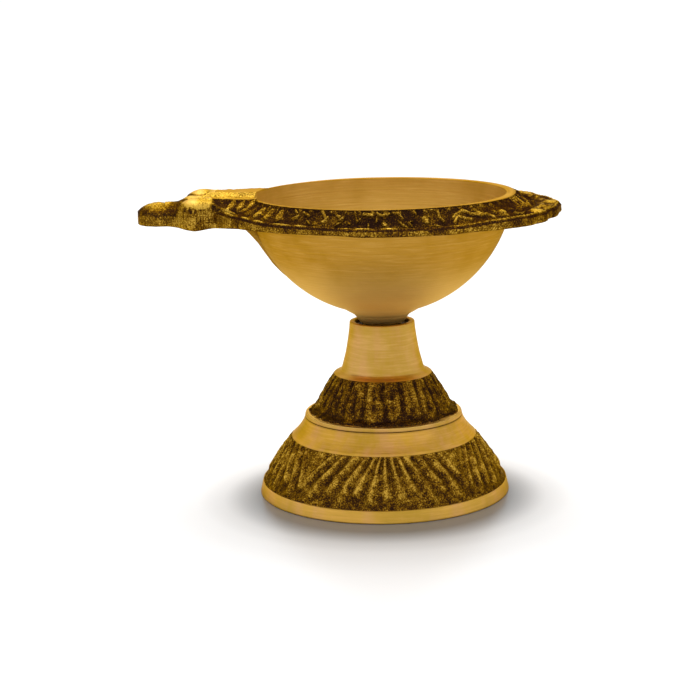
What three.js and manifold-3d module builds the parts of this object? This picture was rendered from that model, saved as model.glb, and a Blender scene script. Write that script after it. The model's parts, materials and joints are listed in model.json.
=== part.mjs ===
// A brass diya: a spouted oil bowl on a screwed two-piece pedestal. Millimetres, +Z up, standing on z = 0.
// The spout points along -X and the leaf tail along +X. Every turned surface shares one vertical axis.

import * as THREE from 'three';
import { mergeVertices } from 'three/addons/utils/BufferGeometryUtils.js';
import Module from 'manifold-3d';

const wasm = await Module();
wasm.setup();

// Overall length of the rim casting, measured from the turned axis.
const SPOUT_TIP_X = -62.7;
const TAIL_TIP_X = 46.8;
// The origin is midway between the two tips, so the turned axis stands off it by this much.
const AXIS_X = -(SPOUT_TIP_X + TAIL_TIP_X) / 2;

// Fits and mesh fineness.
const TURNED_SIDES = 40;
const RIM_SIDES = 64;
const LOBE_SIDES = 14;
// Steps between neighbouring points of a curved outline.
const OUTLINE_STEPS = 3;
const SEAT_GAP = 0.1;
const MERGE_TOLERANCE = 1e-4;

// Foot casting: a hollow bell with a web across its top.
const FOOT_R = 33;
const FOOT_RIM_TOP_Z = 3.95;
const FOOT_RIM_TOP_R = 32;
const FOOT_BAND_TOP_R = 23.95;
const FOOT_BAND_TOP_Z = 16;
const FOOT_TOP_R = 21.04;
const FOOT_TOP_Z = 20.24;
const FOOT_BAND_BULGE = 0.4;
const FOOT_WALL = 3.2;
const FOOT_WEB_Z = 16.2;
const BOLT_CLEARANCE_R = 3.3;

// Stem casting: ring, bell and cone, with a boss inside for the clamp bolt and a cup on top for the bowl.
const RING_R = 21;
const RING_TOP_R = 20.3;
const RING_TOP_Z = 21.4;
const LEDGE_R = 19.2;
const BELL_TOP_R = 13.12;
const BELL_TOP_Z = 31.54;
const BELL_BULGE = 0.15;
const CONE_BOTTOM_R = 10.7;
const CONE_BOTTOM_Z = 33.5;
const CONE_HOLLOW = 0.35;
const STEM_TOP_R = 8.49;
const STEM_TOP_Z = 45.34;
const STEM_WALL = 2.7;
const STEM_HOLLOW_TOP_Z = 29.5;
const STEM_BOSS_R = 6.4;
const CUP_R = 7.2;
const CUP_FLOOR_Z = 43.1;

// Screw threads.
const THREAD_SIDES = 16;
const THREAD_CLEARANCE = 0.16;
const STUD_THREAD = { crestR: 4, rootR: 3.23, pitch: 1.25 };
const BOLT_THREAD = { crestR: 3, rootR: 2.39, pitch: 1 };
const THREAD_CHAMFER = 0.7;
// Turns from the seated bowl to the stud leaving its thread.
const STUD_TURNS = 5;

// Bowl casting: a spherical cup cut off flat, with a boss under it for the stud.
const BALL_R = 34.85;
const BALL_Z = 82;
const BOWL_WALL = 2.15;
const LIP_Z = 78.8;
const BOSS_NECK_R = 7.6;
const BOSS_R = 6.2;
const BOSS_TAPER_Z = 46.3;
const BOSS_CHAMFER = 0.8;
const BOSS_BOTTOM_Z = 44.4;
const STUD_HOLE_R = 3.3;
const STUD_HOLE_TOP_Z = 48;
const BOWL_ARC_STEPS = 8;

// Rim flange round the lip, an oval that is fullest at the leaf tail.
const FLANGE_SIDE_R = 38.1;
const FLANGE_TAIL_R = TAIL_TIP_X;
const FLANGE_TAIL_SPAN = 1.08;
const FLANGE_TAIL_SHARPNESS = 1.5;
const FLANGE_SPOUT_GAIN = 6.5;
const FLANGE_ROOT_R = 33;
const FLANGE_TOP_Z = 78.3;
const BORDER_TOP_Z = 75.5;
const BORDER_WIDTH = 1.6;
const BORDER_RISE = 0.6;
const FLANGE_BOTTOM_Z = 73.1;

// Wick spout: a trefoil plate with a dome on each lobe and a shallow channel back to the bowl.
const PLATE_BOTTOM_Z = 72;
const PLATE_TOP_Z = 75.8;
const SIDE_LOBE = { x: -45.8, y: 9.3, z: 75.5, rx: 4.9, ry: 5.2, rz: 4.1 };
const TIP_LOBE = { x: -57.4, y: 0, z: 75.5, rx: 5.2, ry: 7.1, rz: 1.9 };
const BRIDGE = { x: -49.3, y: 0, z: 75.4, rx: 5.4, ry: 6.5, rz: 3.5 };
const CHEEK_TOP_Z = 79.2;
const CHEEK_BACK = { x: -30.5, y: 15.4 };
const CHEEK_FRONT = { x: -44.5, y: 10.6 };
const CHANNEL_FLOOR_Z = 77.7;
const CHANNEL_BACK = { x: -29, y: 12.8 };
const CHANNEL_FRONT = { x: -43.5, y: 6.4 };
const CHANNEL_TIP_X = -46.6;

// Seat washer and clamp hardware.
const SEAT_WASHER = { innerR: 4.4, outerR: 6.9, thickness: 1.1 };
const PLAIN_WASHER = { innerR: 3.25, outerR: 6, thickness: 1.6 };
const SPRING_WASHER = { innerR: 3.25, outerR: 5.6, thickness: 1.5 };
const SPRING_WASHER_SLOT = 1.2;
const SPRING_WASHER_SLOT_TILT = Math.PI / 7;
const BOLT_HEAD_ACROSS_FLATS = 10;
const BOLT_HEAD_HEIGHT = 4;
const BOLT_HEAD_CHAMFER = 0.6;
const BOLT_LENGTH = 16;
const BOLT_HOLE_DEPTH = 10;

const brass = { color: 0xb98a34, roughness: 0.32, metalness: 1 };
const castBrass = { color: 0xa97c2c, roughness: 0.4, metalness: 1 };
const darkFibre = { color: 0x2a1a10, roughness: 0.85, metalness: 0 };
const zincSteel = { color: 0xa9abad, roughness: 0.4, metalness: 1 };

// Turns a closed three.js geometry into a solid that faces out, whichever way its outline was drawn.
function solidOf(geometry) {
  const bare = geometry.clone();
  bare.deleteAttribute('normal');
  bare.deleteAttribute('uv');
  const merged = mergeVertices(bare, MERGE_TOLERANCE);
  const points = merged.attributes.position;
  const corners = merged.index.array;
  const triangles = [];
  const a = new THREE.Vector3();
  const b = new THREE.Vector3();
  const c = new THREE.Vector3();
  let volume = 0;
  for (let i = 0; i < corners.length; i += 3) {
    const [p, q, r] = [corners[i], corners[i + 1], corners[i + 2]];
    if (p === q || q === r || r === p) {
      continue;
    }
    triangles.push([p, q, r]);
    a.fromBufferAttribute(points, p);
    b.fromBufferAttribute(points, q);
    c.fromBufferAttribute(points, r);
    volume += a.dot(b.cross(c));
  }
  const facing = volume > 0 ? triangles : triangles.map(([p, q, r]) => [p, r, q]);
  return new wasm.Manifold(new wasm.Mesh({
    numProp: 3,
    vertProperties: new Float32Array(points.array),
    triVerts: new Uint32Array(facing.flat()),
  }));
}

function namedMesh(name, solid, look) {
  const { vertProperties, triVerts } = solid.getMesh();
  const geometry = new THREE.BufferGeometry();
  geometry.setAttribute('position', new THREE.BufferAttribute(new Float32Array(vertProperties), 3));
  geometry.setIndex(new THREE.BufferAttribute(new Uint32Array(triVerts), 1));
  geometry.computeVertexNormals();
  const mesh = new THREE.Mesh(geometry, new THREE.MeshStandardMaterial(look));
  mesh.name = name;
  return mesh;
}

// A solid of revolution about Z from [radius, height] pairs.
function turned(outline, sides = TURNED_SIDES) {
  const points = outline.map(([r, z]) => new THREE.Vector2(r, z));
  return solidOf(new THREE.LatheGeometry(points, sides).rotateX(Math.PI / 2));
}

function ring(innerR, outerR, bottomZ, topZ) {
  return turned([
    [innerR, bottomZ],
    [outerR, bottomZ],
    [outerR, topZ],
    [innerR, topZ],
    [innerR, bottomZ],
  ]);
}

function rod(r, bottomZ, topZ, sides = TURNED_SIDES) {
  return turned([[0, bottomZ], [r, bottomZ], [r, topZ], [0, topZ]], sides);
}

function prism(shape, bottomZ, topZ) {
  const geometry = new THREE.ExtrudeGeometry(shape, {
    depth: topZ - bottomZ,
    bevelEnabled: false,
    curveSegments: OUTLINE_STEPS,
  });
  return solidOf(geometry.translate(0, 0, bottomZ));
}

function ellipsoid({ x, y, z, rx, ry, rz }) {
  const geometry = new THREE.SphereGeometry(1, LOBE_SIDES, LOBE_SIDES / 2);
  return solidOf(geometry.rotateX(Math.PI / 2).scale(rx, ry, rz).translate(x, y, z));
}

// Points between two ends of a slope that swells outwards by bulge at its middle.
function bulgingSlope([r0, z0], [r1, z1], bulge, steps) {
  const length = Math.hypot(r1 - r0, z1 - z0);
  const normal = [(z1 - z0) / length, (r0 - r1) / length];
  const points = [];
  for (let i = 0; i <= steps; i += 1) {
    const t = i / steps;
    const swell = 4 * bulge * t * (1 - t);
    points.push([r0 + (r1 - r0) * t + normal[0] * swell, z0 + (z1 - z0) * t + normal[1] * swell]);
  }
  return points;
}

// Points on a circle about [0, centreZ] in the [radius, height] plane, between two heights.
function arcBetween(r, centreZ, fromZ, toZ) {
  const start = Math.asin((fromZ - centreZ) / r);
  const end = Math.asin((toZ - centreZ) / r);
  const points = [];
  for (let i = 0; i <= BOWL_ARC_STEPS; i += 1) {
    const angle = start + ((end - start) * i) / BOWL_ARC_STEPS;
    points.push([r * Math.cos(angle), centreZ + r * Math.sin(angle)]);
  }
  return points;
}

// A threaded rod: rows of points climb one pitch per turn, and the ends are then cut square and chamfered.
function threadedRod({ crestR, rootR, pitch }, bottomZ, topZ, extraR = 0) {
  const form = [
    { phase: 0, r: rootR + extraR },
    { phase: 0.4, r: crestR + extraR },
    { phase: 0.6, r: crestR + extraR },
  ];
  const turns = Math.ceil((topZ - bottomZ) / pitch) + 4;
  const rows = turns * form.length;
  const positions = [];
  const index = [];
  // Whole pitches above z = 0, so that a screw and its hole are in step.
  const startZ = (Math.floor(bottomZ / pitch) - 2) * pitch;
  const addPoint = (row, side) => {
    const { phase, r } = form[row % form.length];
    const angle = (2 * Math.PI * side) / THREAD_SIDES;
    const climb = Math.floor(row / form.length) + phase + side / THREAD_SIDES;
    positions.push(r * Math.cos(angle), r * Math.sin(angle), startZ + climb * pitch);
  };
  for (let row = 0; row <= rows + form.length; row += 1) {
    for (let side = 0; side < THREAD_SIDES; side += 1) {
      addPoint(row, side);
    }
  }
  // A full turn along a row ends on the row one pitch higher.
  const at = (row, side) => (side < THREAD_SIDES ? row * THREAD_SIDES + side : at(row + form.length, 0));
  for (let row = 0; row < rows; row += 1) {
    for (let side = 0; side < THREAD_SIDES; side += 1) {
      index.push(at(row, side), at(row, side + 1), at(row + 1, side + 1));
      index.push(at(row, side), at(row + 1, side + 1), at(row + 1, side));
    }
  }
  // Each end is a fan from a point on the axis round the last row and back down its one-pitch step.
  const bottomCentre = positions.length / 3;
  positions.push(0, 0, startZ - pitch);
  const topCentre = bottomCentre + 1;
  positions.push(0, 0, startZ + (turns + 2) * pitch);
  for (let side = 0; side < THREAD_SIDES; side += 1) {
    index.push(bottomCentre, at(0, side + 1), at(0, side));
    index.push(topCentre, at(rows, side), at(rows, side + 1));
  }
  for (let step = 0; step < form.length; step += 1) {
    index.push(bottomCentre, at(step, 0), at(step + 1, 0));
    index.push(topCentre, at(rows + step + 1, 0), at(rows + step, 0));
  }
  const geometry = new THREE.BufferGeometry();
  geometry.setAttribute('position', new THREE.Float32BufferAttribute(positions, 3));
  geometry.setIndex(index);
  return solidOf(geometry).intersect(rod(crestR + extraR + pitch, bottomZ, topZ));
}

// Cuts a bevel on the lower end of a screw.
function chamferedTip(r, bottomZ, topZ) {
  return turned([
    [0, bottomZ],
    [r - THREAD_CHAMFER, bottomZ],
    [r + THREAD_CHAMFER, bottomZ + 2 * THREAD_CHAMFER],
    [r + THREAD_CHAMFER, topZ],
    [0, topZ],
  ]);
}

function footCasting() {
  const wallAt = (r, z) => [r - FOOT_WALL, z];
  const outside = [
    [FOOT_R, 0],
    [FOOT_RIM_TOP_R, FOOT_RIM_TOP_Z],
    ...bulgingSlope(
      [FOOT_RIM_TOP_R - 0.15, FOOT_RIM_TOP_Z],
      [FOOT_BAND_TOP_R, FOOT_BAND_TOP_Z],
      FOOT_BAND_BULGE,
      6,
    ),
    [FOOT_TOP_R, FOOT_TOP_Z],
  ];
  const inside = bulgingSlope(
    wallAt(FOOT_BAND_TOP_R, FOOT_WEB_Z),
    wallAt(FOOT_RIM_TOP_R, FOOT_RIM_TOP_Z),
    -FOOT_BAND_BULGE,
    4,
  );
  return turned([
    wallAt(FOOT_R, 0),
    ...outside,
    [BOLT_CLEARANCE_R, FOOT_TOP_Z],
    [BOLT_CLEARANCE_R, FOOT_WEB_Z],
    ...inside,
    wallAt(FOOT_R, 0),
  ]);
}

function stemCasting() {
  const bottomZ = FOOT_TOP_Z + SEAT_GAP;
  const outside = [
    [RING_R, bottomZ],
    [RING_R, RING_TOP_Z - 0.4],
    [RING_TOP_R, RING_TOP_Z],
    ...bulgingSlope([LEDGE_R, RING_TOP_Z], [BELL_TOP_R, BELL_TOP_Z], BELL_BULGE, 4),
    [CONE_BOTTOM_R + 0.9, CONE_BOTTOM_Z - 1],
    ...bulgingSlope([CONE_BOTTOM_R, CONE_BOTTOM_Z], [STEM_TOP_R, STEM_TOP_Z], -CONE_HOLLOW, 3),
  ];
  const body = turned([
    [LEDGE_R - STEM_WALL, bottomZ],
    ...outside,
    [CUP_R, STEM_TOP_Z],
    [CUP_R, CUP_FLOOR_Z],
    [0, CUP_FLOOR_Z],
    [0, bottomZ],
    [STEM_BOSS_R, bottomZ],
    [STEM_BOSS_R, STEM_HOLLOW_TOP_Z],
    [BELL_TOP_R - STEM_WALL, STEM_HOLLOW_TOP_Z],
    [LEDGE_R - STEM_WALL, bottomZ],
  ]);
  const studHole = threadedRod(
    STUD_THREAD,
    CUP_FLOOR_Z - (STUD_TURNS + 1.4) * STUD_THREAD.pitch,
    CUP_FLOOR_Z + 1,
    THREAD_CLEARANCE,
  );
  const boltHole = threadedRod(
    BOLT_THREAD,
    bottomZ - 1,
    bottomZ + BOLT_HOLE_DEPTH,
    THREAD_CLEARANCE,
  );
  return body.subtract(studHole).subtract(boltHole);
}

// The flange's outer radius at an angle from the tail: an oval, swelling to the tail and to the spout.
function flangeRadius(angle) {
  const along = Math.cos(angle);
  if (along < 0) {
    return FLANGE_SIDE_R + FLANGE_SPOUT_GAIN * (-along) ** 3;
  }
  const towardsTail = Math.min(1, Math.asin(along) / FLANGE_TAIL_SPAN);
  const swell = Math.sin((Math.PI / 2) * towardsTail ** FLANGE_TAIL_SHARPNESS) ** 2;
  return FLANGE_SIDE_R + (FLANGE_TAIL_R - FLANGE_SIDE_R) * swell;
}

// A ring whose section slopes from the lip to a raised border, lofted round the oval.
function rimFlange() {
  const sectionAt = (r) => [
    [FLANGE_ROOT_R, FLANGE_TOP_Z],
    [BALL_R - 0.2, FLANGE_TOP_Z],
    [r - BORDER_WIDTH - 0.3, BORDER_TOP_Z - BORDER_RISE],
    [r - BORDER_WIDTH, BORDER_TOP_Z],
    [r - 0.4, BORDER_TOP_Z],
    [r, BORDER_TOP_Z - 0.4],
    [r, FLANGE_BOTTOM_Z + 0.3],
    [r - 0.5, FLANGE_BOTTOM_Z],
    [FLANGE_ROOT_R, FLANGE_BOTTOM_Z + 0.8],
  ];
  const positions = [];
  const index = [];
  const sectionSize = sectionAt(FLANGE_SIDE_R).length;
  for (let side = 0; side < RIM_SIDES; side += 1) {
    const angle = (2 * Math.PI * side) / RIM_SIDES;
    for (const [r, z] of sectionAt(flangeRadius(angle))) {
      positions.push(r * Math.cos(angle), r * Math.sin(angle), z);
    }
  }
  for (let side = 0; side < RIM_SIDES; side += 1) {
    const here = side * sectionSize;
    const next = ((side + 1) % RIM_SIDES) * sectionSize;
    for (let i = 0; i < sectionSize; i += 1) {
      const j = (i + 1) % sectionSize;
      index.push(here + i, next + i, next + j);
      index.push(here + i, next + j, here + j);
    }
  }
  const geometry = new THREE.BufferGeometry();
  geometry.setAttribute('position', new THREE.Float32BufferAttribute(positions, 3));
  geometry.setIndex(index);
  return solidOf(geometry);
}

// A closed outline through one side's points and their mirror images across the XZ plane.
function mirroredShape(sidePoints) {
  const shape = new THREE.Shape();
  const side = sidePoints.map(([x, y]) => new THREE.Vector2(x, y));
  const mirrored = [...side].reverse().map(({ x, y }) => new THREE.Vector2(x, -y));
  shape.moveTo(side[0].x, side[0].y);
  shape.splineThru([...side.slice(1), ...mirrored]);
  shape.closePath();
  return shape;
}

function straightShape(points) {
  return new THREE.Shape(points.map(([x, y]) => new THREE.Vector2(x, y)));
}

function wickSpout() {
  const trefoil = mirroredShape([
    [-33, 17.5],
    [-38, 14.6],
    [-42, 11.9],
    [-46.8, 14.3],
    [-51, 10.8],
    [-54, 7.1],
    [-58, 7.5],
    [-61.6, 4.6],
    [SPOUT_TIP_X, 0.8],
  ]);
  const cheeks = straightShape([
    [CHEEK_BACK.x, CHEEK_BACK.y],
    [CHEEK_FRONT.x, CHEEK_FRONT.y],
    [CHEEK_FRONT.x, -CHEEK_FRONT.y],
    [CHEEK_BACK.x, -CHEEK_BACK.y],
  ]);
  return prism(trefoil, PLATE_BOTTOM_Z, PLATE_TOP_Z)
    .add(prism(cheeks, PLATE_TOP_Z - 1, CHEEK_TOP_Z))
    .add(ellipsoid(SIDE_LOBE))
    .add(ellipsoid({ ...SIDE_LOBE, y: -SIDE_LOBE.y }))
    .add(ellipsoid(TIP_LOBE))
    .add(ellipsoid(BRIDGE));
}

function bowlCasting() {
  const innerR = BALL_R - BOWL_WALL;
  const neckZ = BALL_Z - Math.sqrt(BALL_R ** 2 - BOSS_NECK_R ** 2);
  const shell = turned([
    [0, BALL_Z - innerR + 1],
    [0, STUD_HOLE_TOP_Z],
    [STUD_HOLE_R, STUD_HOLE_TOP_Z],
    [STUD_HOLE_R, BOSS_BOTTOM_Z],
    [BOSS_R - BOSS_CHAMFER, BOSS_BOTTOM_Z],
    [BOSS_R, BOSS_BOTTOM_Z + BOSS_CHAMFER],
    [BOSS_R, BOSS_TAPER_Z],
    ...arcBetween(BALL_R, BALL_Z, neckZ, LIP_Z),
    [0, LIP_Z],
  ]);
  const inside = turned([
    [0, BALL_Z - innerR],
    ...arcBetween(innerR, BALL_Z, BALL_Z - innerR + 0.001, LIP_Z).slice(1),
    [Math.sqrt(innerR ** 2 - (BALL_Z - LIP_Z) ** 2), LIP_Z + 5],
    [0, LIP_Z + 5],
  ]);
  const channel = prism(
    straightShape([
      [CHANNEL_BACK.x, CHANNEL_BACK.y],
      [CHANNEL_FRONT.x, CHANNEL_FRONT.y],
      [CHANNEL_TIP_X, 0],
      [CHANNEL_FRONT.x, -CHANNEL_FRONT.y],
      [CHANNEL_BACK.x, -CHANNEL_BACK.y],
    ]),
    CHANNEL_FLOOR_Z,
    LIP_Z + 5,
  );
  return shell.add(rimFlange()).add(wickSpout()).subtract(inside).subtract(channel);
}

function bowlStud() {
  const shoulderZ = BOSS_BOTTOM_Z - SEAT_GAP;
  const tipZ = CUP_FLOOR_Z - STUD_TURNS * STUD_THREAD.pitch;
  const shank = rod(STUD_HOLE_R - SEAT_GAP, shoulderZ - 1, STUD_HOLE_TOP_Z - SEAT_GAP);
  return threadedRod(STUD_THREAD, tipZ, shoulderZ)
    .intersect(chamferedTip(STUD_THREAD.crestR, tipZ, shoulderZ))
    .add(shank);
}

function seatWasher() {
  const bottomZ = CUP_FLOOR_Z + SEAT_GAP;
  return ring(SEAT_WASHER.innerR, SEAT_WASHER.outerR, bottomZ, bottomZ + SEAT_WASHER.thickness);
}

// Heights of the clamp stack, counted down from the web inside the foot.
const plainWasherTopZ = FOOT_WEB_Z - SEAT_GAP;
const springWasherTopZ = plainWasherTopZ - PLAIN_WASHER.thickness - SEAT_GAP;
const boltHeadTopZ = springWasherTopZ - SPRING_WASHER.thickness - SEAT_GAP;

function plainWasher() {
  const { innerR, outerR, thickness } = PLAIN_WASHER;
  return ring(innerR, outerR, plainWasherTopZ - thickness, plainWasherTopZ);
}

// A flattened lock washer with a slanting slot through one side.
function springWasher() {
  const { innerR, outerR, thickness } = SPRING_WASHER;
  const slotHeight = 3 * thickness;
  const slot = new THREE.BoxGeometry(SPRING_WASHER_SLOT, outerR, slotHeight)
    .rotateY(SPRING_WASHER_SLOT_TILT)
    .translate(0, -(innerR + outerR) / 2, springWasherTopZ - thickness / 2);
  return ring(innerR, outerR, springWasherTopZ - thickness, springWasherTopZ).subtract(solidOf(slot));
}

function clampBolt() {
  const headBottomZ = boltHeadTopZ - BOLT_HEAD_HEIGHT;
  const tipZ = boltHeadTopZ + BOLT_LENGTH;
  const cornerR = BOLT_HEAD_ACROSS_FLATS / Math.sqrt(3);
  const bevel = turned([
    [0, headBottomZ],
    [cornerR - BOLT_HEAD_CHAMFER * 2, headBottomZ],
    [cornerR + 0.5, headBottomZ + BOLT_HEAD_CHAMFER * 1.5],
    [cornerR + 0.5, boltHeadTopZ],
    [0, boltHeadTopZ],
  ]);
  const head = rod(cornerR, headBottomZ, boltHeadTopZ, 6).intersect(bevel);
  const shank = rod(BOLT_THREAD.crestR, boltHeadTopZ - 1, FOOT_TOP_Z - 1);
  const tip = turned([
    [0, FOOT_TOP_Z - 1.5],
    [BOLT_THREAD.crestR + 0.5, FOOT_TOP_Z - 1.5],
    [BOLT_THREAD.crestR + 0.5, tipZ - 0.5 - THREAD_CHAMFER],
    [BOLT_THREAD.crestR - THREAD_CHAMFER, tipZ],
    [0, tipZ],
  ]);
  const thread = threadedRod(BOLT_THREAD, FOOT_TOP_Z - 1.5, tipZ).intersect(tip);
  return head.add(shank).add(thread);
}

const lamp = new THREE.Group();
lamp.position.x = AXIS_X;
lamp.add(
  namedMesh('foot_casting', footCasting(), castBrass),
  namedMesh('stem_casting', stemCasting(), castBrass),
  namedMesh('clamp_bolt', clampBolt(), zincSteel),
  namedMesh('plain_washer', plainWasher(), zincSteel),
  namedMesh('spring_washer', springWasher(), zincSteel),
  namedMesh('seat_washer', seatWasher(), darkFibre),
  namedMesh('bowl_stud', bowlStud(), brass),
  namedMesh('bowl_casting', bowlCasting(), brass),
);

const part = new THREE.Group();
part.add(lamp);

export default part;
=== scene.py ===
import json
import math

import bpy
import numpy as np
from mathutils import Matrix, Vector


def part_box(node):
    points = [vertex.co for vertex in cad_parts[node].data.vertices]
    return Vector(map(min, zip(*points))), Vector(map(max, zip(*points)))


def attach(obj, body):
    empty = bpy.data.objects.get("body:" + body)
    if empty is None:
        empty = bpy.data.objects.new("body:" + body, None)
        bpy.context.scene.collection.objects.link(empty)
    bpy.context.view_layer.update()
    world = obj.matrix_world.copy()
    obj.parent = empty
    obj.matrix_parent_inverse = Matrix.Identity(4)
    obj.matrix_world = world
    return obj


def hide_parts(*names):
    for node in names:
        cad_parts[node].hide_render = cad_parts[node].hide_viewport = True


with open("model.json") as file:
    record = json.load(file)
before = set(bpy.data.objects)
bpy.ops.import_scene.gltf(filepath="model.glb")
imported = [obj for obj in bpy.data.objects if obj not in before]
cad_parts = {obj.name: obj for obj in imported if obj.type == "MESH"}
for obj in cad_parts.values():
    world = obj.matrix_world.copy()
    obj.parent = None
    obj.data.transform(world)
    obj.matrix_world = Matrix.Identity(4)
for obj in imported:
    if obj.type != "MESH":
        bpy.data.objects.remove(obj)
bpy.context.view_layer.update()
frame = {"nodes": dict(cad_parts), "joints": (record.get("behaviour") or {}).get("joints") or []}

# The looks of a cast-brass diya. Lengths are millimetres about the turned axis until mesh_piece() makes them
# metres in the frame. X runs from the wick spout (-) to the leaf tail (+), and heights start at the surface
# that the lamp stands on.
MM = 0.001
hinge = next(j for j in frame["joints"] if j["name"] == "bowl_turn")
AXIS_X = hinge["pos_m"][0] / MM


def node_span(node, axis):
    """Lowest and highest coordinate of a CAD node along one axis, in mm about the turned axis."""
    low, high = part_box(node)
    shift = AXIS_X if axis == 0 else 0.0
    return low[axis] / MM - shift, high[axis] / MM - shift


FOOT_R = node_span("foot_casting", 1)[1]
FOOT_TOP_Z = node_span("foot_casting", 2)[1]
STEM_BOTTOM_Z, STEM_TOP_Z = node_span("stem_casting", 2)
RING_R = node_span("stem_casting", 1)[1]
BOSS_BOTTOM_Z = node_span("bowl_casting", 2)[0]
FLANGE_SIDE_R = node_span("bowl_casting", 1)[1]
SPOUT_TIP_X, TAIL_TIP_X = node_span("bowl_casting", 0)
STUD_R = node_span("bowl_stud", 1)[1]
CUP_FLOOR_Z = hinge["pos_m"][2] / MM

# --- noise

LATTICE_SIZE = 64
LATTICE_SEED = 11
LATTICE = np.random.default_rng(LATTICE_SEED).random((LATTICE_SIZE,) * 3)
OCTAVE_SHIFT = 37.0


def lumps(points, size):
    """Smooth noise from -1 to 1 whose lumps are about `size` mm across."""
    place = points / size
    cell = np.floor(place).astype(int)
    t = place - cell
    t = t * t * (3 - 2 * t)
    total = np.zeros(points.shape[:-1])
    for corner in np.ndindex(2, 2, 2):
        weight = np.ones(points.shape[:-1])
        for k in range(3):
            weight = weight * (t[..., k] if corner[k] else 1 - t[..., k])
        index = tuple((cell[..., k] + corner[k]) % LATTICE_SIZE for k in range(3))
        total += weight * LATTICE[index]
    return total * 2 - 1


def rough(points, size, octaves=3):
    """Several sizes of lumps added up, each half as big and half as strong as the one before."""
    total = np.zeros(points.shape[:-1])
    for k in range(octaves):
        total += lumps(points + OCTAVE_SHIFT * k, size / 2**k) / 2**k
    return total


def smoothstep(x, low, high):
    """0 at low, 1 at high and eased between them. low may be above high."""
    t = np.clip((x - low) / (high - low), 0, 1)
    return t * t * (3 - 2 * t)


def mix(a, b, t):
    """a where t is 0 and b where it is 1."""
    return a + (b - a) * t


# --- outlines and meshes


def outline(corners, spacing=0.8, fillet_steps=5):
    """A polyline through (r, z, fillet) corners, with each corner rounded and long runs divided."""
    points = []
    count = len(corners)
    for i, (r, z, fillet) in enumerate(corners):
        here = np.array([r, z], float)
        if fillet and 0 < i < count - 1:
            before = np.array(corners[i - 1][:2], float) - here
            after = np.array(corners[i + 1][:2], float) - here
            start = here + before / np.linalg.norm(before) * fillet
            end = here + after / np.linalg.norm(after) * fillet
            for t in np.linspace(0, 1, fillet_steps):
                points.append((1 - t) ** 2 * start + 2 * t * (1 - t) * here + t**2 * end)
        else:
            points.append(here)
    dense = [points[0]]
    for a, b in zip(points, points[1:]):
        steps = max(1, math.ceil(np.linalg.norm(b - a) / spacing))
        for k in range(1, steps + 1):
            dense.append(mix(a, b, k / steps))
    return np.array(dense)


def run_length(section):
    """Distance along a section to each of its points."""
    steps = np.linalg.norm(np.diff(section, axis=0), axis=1)
    return np.concatenate([[0], np.cumsum(steps)])


def ball_arc(radius, centre_z, from_z, to_z, steps):
    """The part of a ball's outline between two heights, as (r, z) points."""
    start, end = math.asin((from_z - centre_z) / radius), math.asin((to_z - centre_z) / radius)
    angles = np.linspace(start, end, steps)
    return np.stack([radius * np.cos(angles), centre_z + radius * np.sin(angles)], axis=1)


def round_axis(r, angle, z):
    """Points from their radius, angle and height."""
    return np.stack([r * np.cos(angle), r * np.sin(angle), z], axis=-1)


def revolve(section, columns):
    """Section points swept round the axis: an array of rows, columns and coordinates."""
    angles = np.arange(columns) * 2 * math.pi / columns
    return round_axis(section[:, :1], angles, np.repeat(section[:, 1:2], columns, axis=1))


def banded(below, band_start, band_end, band_rows, above, columns):
    """A turned piece with one cast band between two turned outlines. Returns its section, its grid and the
    band's rows, then the place, angle and share of the band's height of each point of the band."""
    run = np.linspace(0, 1, band_rows)[:, None]
    section = np.vstack([below, mix(band_start, band_end, run), above])
    grid = revolve(section, columns)
    rows = slice(len(below), len(below) + band_rows)
    points = grid[rows].copy()
    angle = np.arctan2(points[..., 1], points[..., 0])
    return section, grid, rows, points, angle, run.repeat(columns, axis=1)


def turned_marks(grid):
    """The aged, relief and painted-shade marks of clean turned brass, with no painted light or shade."""
    return np.zeros(grid.shape[:2]), np.full(grid.shape[:2], 0.5), np.zeros(grid.shape[:2])


def raise_band(points, height, start, end):
    """Radius and height of a band's points, lifted by `height` off the straight line from start to end."""
    slope = (end - start) / np.linalg.norm(end - start)
    normal = np.array([slope[1], -slope[0]])
    return np.linalg.norm(points[..., :2], axis=-1) + height * normal[0], points[..., 2] + height * normal[1]


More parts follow.
